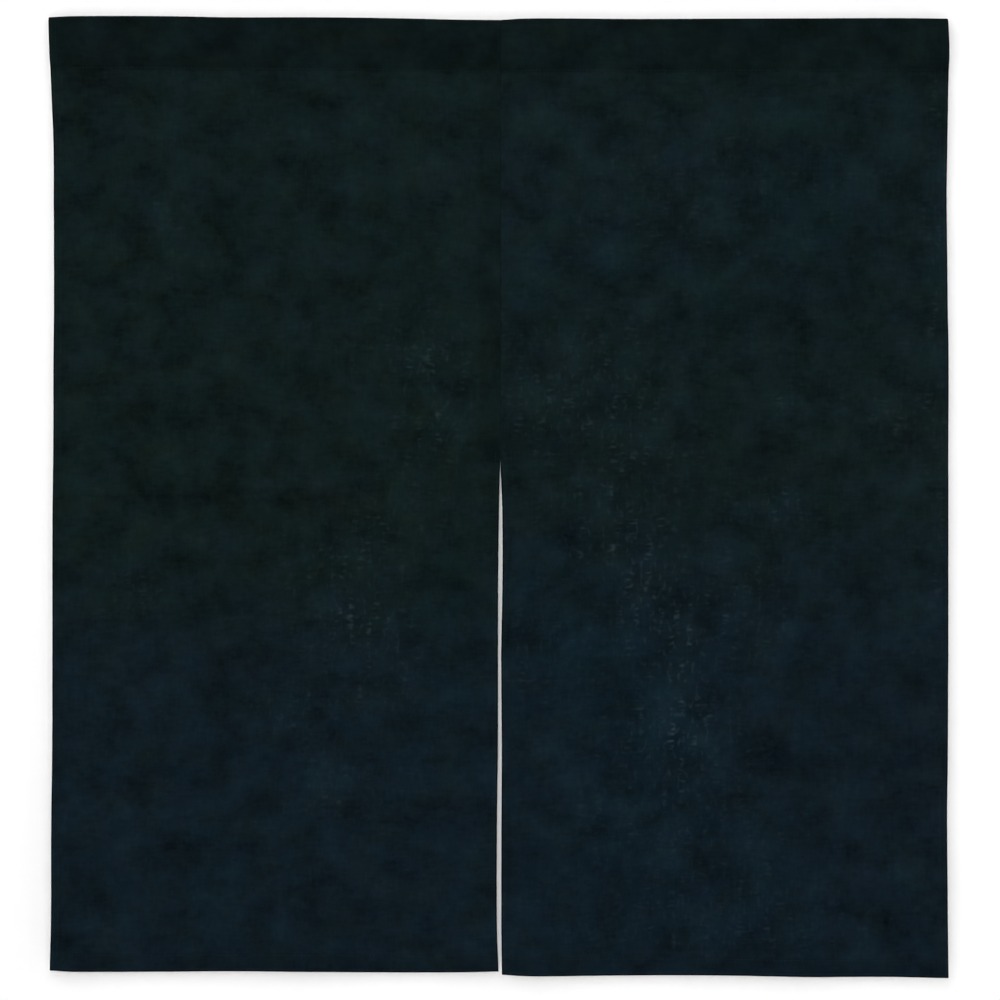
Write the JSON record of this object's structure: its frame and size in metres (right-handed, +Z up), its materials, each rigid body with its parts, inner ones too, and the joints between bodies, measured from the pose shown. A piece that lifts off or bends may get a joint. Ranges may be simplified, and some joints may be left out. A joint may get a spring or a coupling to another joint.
{
  "type": "noren curtain",
  "caption": "Flat doorway curtain of dark indigo linen, slit up the middle from its hem, with an open pole pocket turned over along its top edge.",
  "frame": {"origin": "on the top edge where the two panels meet, at the middle of the pole pocket's depth", "axes": "+Z up, +X to the right as seen from the front, and the front faces -Y"},
  "size_m": [0.8522, 0.012, 0.9108],
  "materials": {
    "left_linen": "matt slubby plain-weave linen, near-black indigo, greener above and bluer below",
    "right_linen": "matt slubby plain-weave linen, near-black indigo, greener above and bluer below, more open in the weave"
  },
  "bodies": {
    "root": {"left_panel": "left_linen", "right_panel": "right_linen"}
  },
  "joints": []
}
